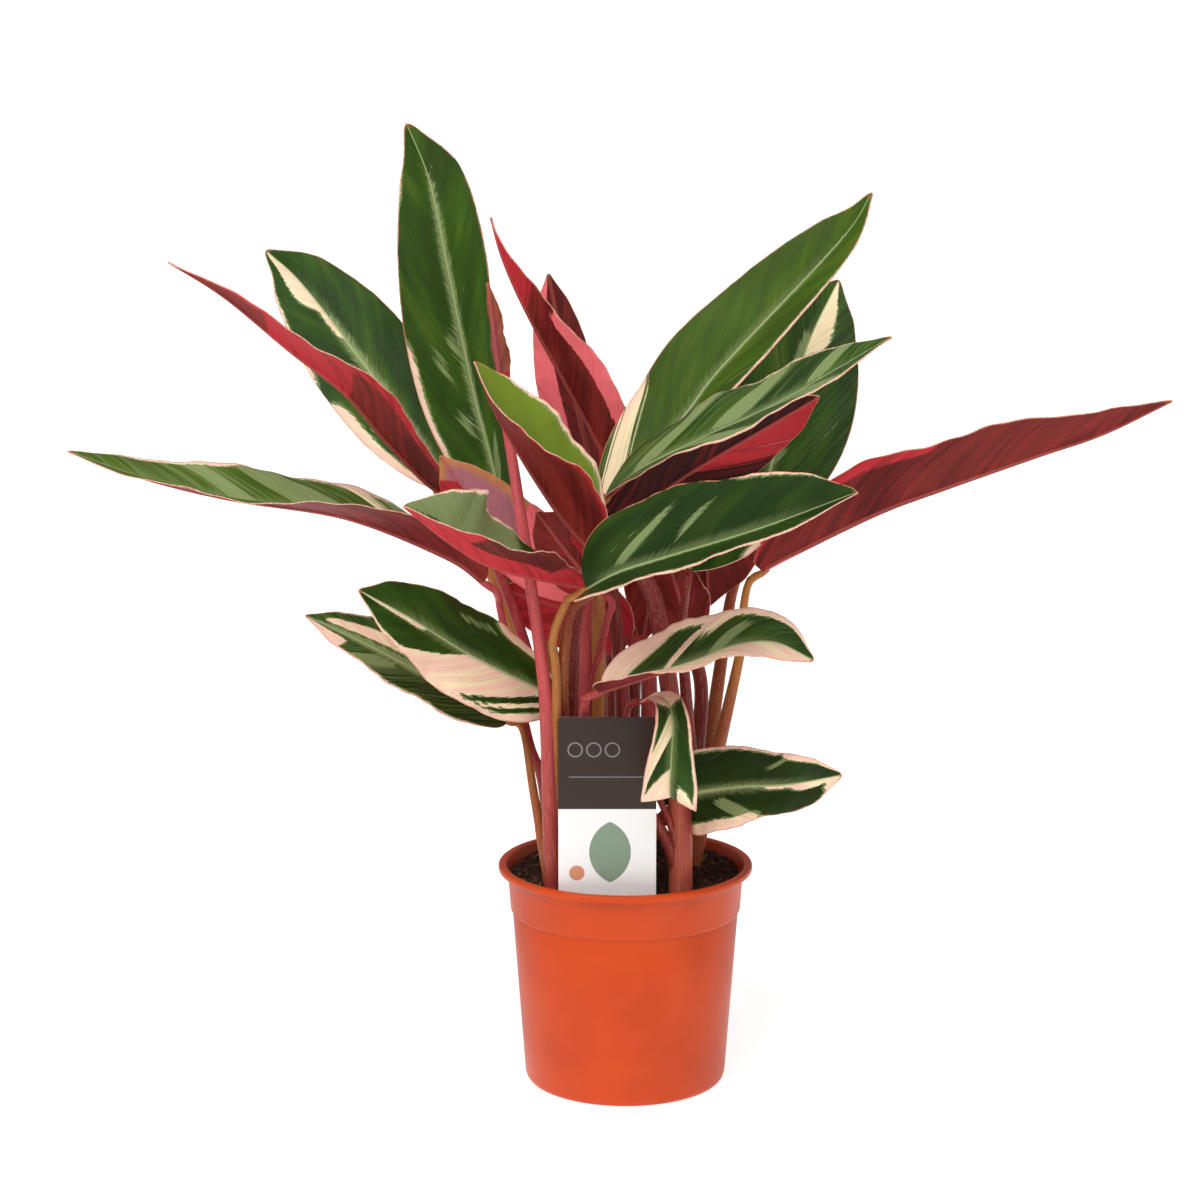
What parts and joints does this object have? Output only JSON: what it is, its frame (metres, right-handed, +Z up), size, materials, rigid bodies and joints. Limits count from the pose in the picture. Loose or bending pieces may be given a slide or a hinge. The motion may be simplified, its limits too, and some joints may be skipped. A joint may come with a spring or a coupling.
{
  "type": "potted foliage plant",
  "caption": "Bushy tricolour prayer plant with lance-shaped variegated leaves on upright stalks, in a round tapered nursery pot filled with soil.",
  "frame": {"origin": "on the table under the middle of the pot, at the pot's flat base", "axes": "+Z up, +X to the plant's right hand side and along its longest extent, -Y towards its front"},
  "size_m": [0.6943, 0.3847, 0.6362],
  "materials": {
    "leaf_green": "satin green blades with cream and pink variegation, crimson underneath",
    "leaf_crimson": "blades turned or folded so that the satin crimson underside is mostly seen",
    "stalk_pink": "smooth pink-red and olive-brown stalks",
    "pot_plastic": "terracotta-orange moulded plastic with a slight sheen",
    "soil": "rough dark peat",
    "care_card": "printed coated card with a dark upper and a white lower panel"
  },
  "bodies": {
    "root": {"pot": "pot_plastic", "soil": "soil", "care_card": "care_card", "stalks_front_left": "stalk_pink", "leaf_rolled_tip": "leaf_crimson", "leaf_low_left": "leaf_green", "leaf_lowest_left": "leaf_green", "leaf_long_left": "leaf_green", "leaf_front_right": "leaf_green", "stalks_middle": "stalk_pink", "leaf_front_left": "leaf_green", "leaf_folded_mid": "leaf_crimson", "leaf_dark_right": "leaf_crimson", "leaf_striped_right": "leaf_green", "leaf_purple_mid": "leaf_crimson", "leaf_inner_mid": "leaf_crimson", "stalks_front_right": "stalk_pink", "leaf_hanging_mid": "leaf_crimson", "leaf_low_right": "leaf_green", "leaf_curled_front": "leaf_green", "leaf_lowest_right": "leaf_green", "stalks_right": "stalk_pink", "leaf_long_right": "leaf_crimson", "leaf_back_right": "leaf_green", "leaf_hanging_right": "leaf_crimson", "leaf_inner_right": "leaf_crimson", "stalks_centre": "stalk_pink", "leaf_tall_right": "leaf_green", "leaf_spear_mid": "leaf_crimson", "leaf_spear_rear": "leaf_crimson", "leaf_rear_right": "leaf_green", "leaf_inner_left": "leaf_crimson", "stalks_back_left": "stalk_pink", "leaf_tall_left": "leaf_green", "leaf_back_left": "leaf_green", "leaf_rear_left": "leaf_green", "leaf_twisted_left": "leaf_crimson"}
  },
  "joints": []
}
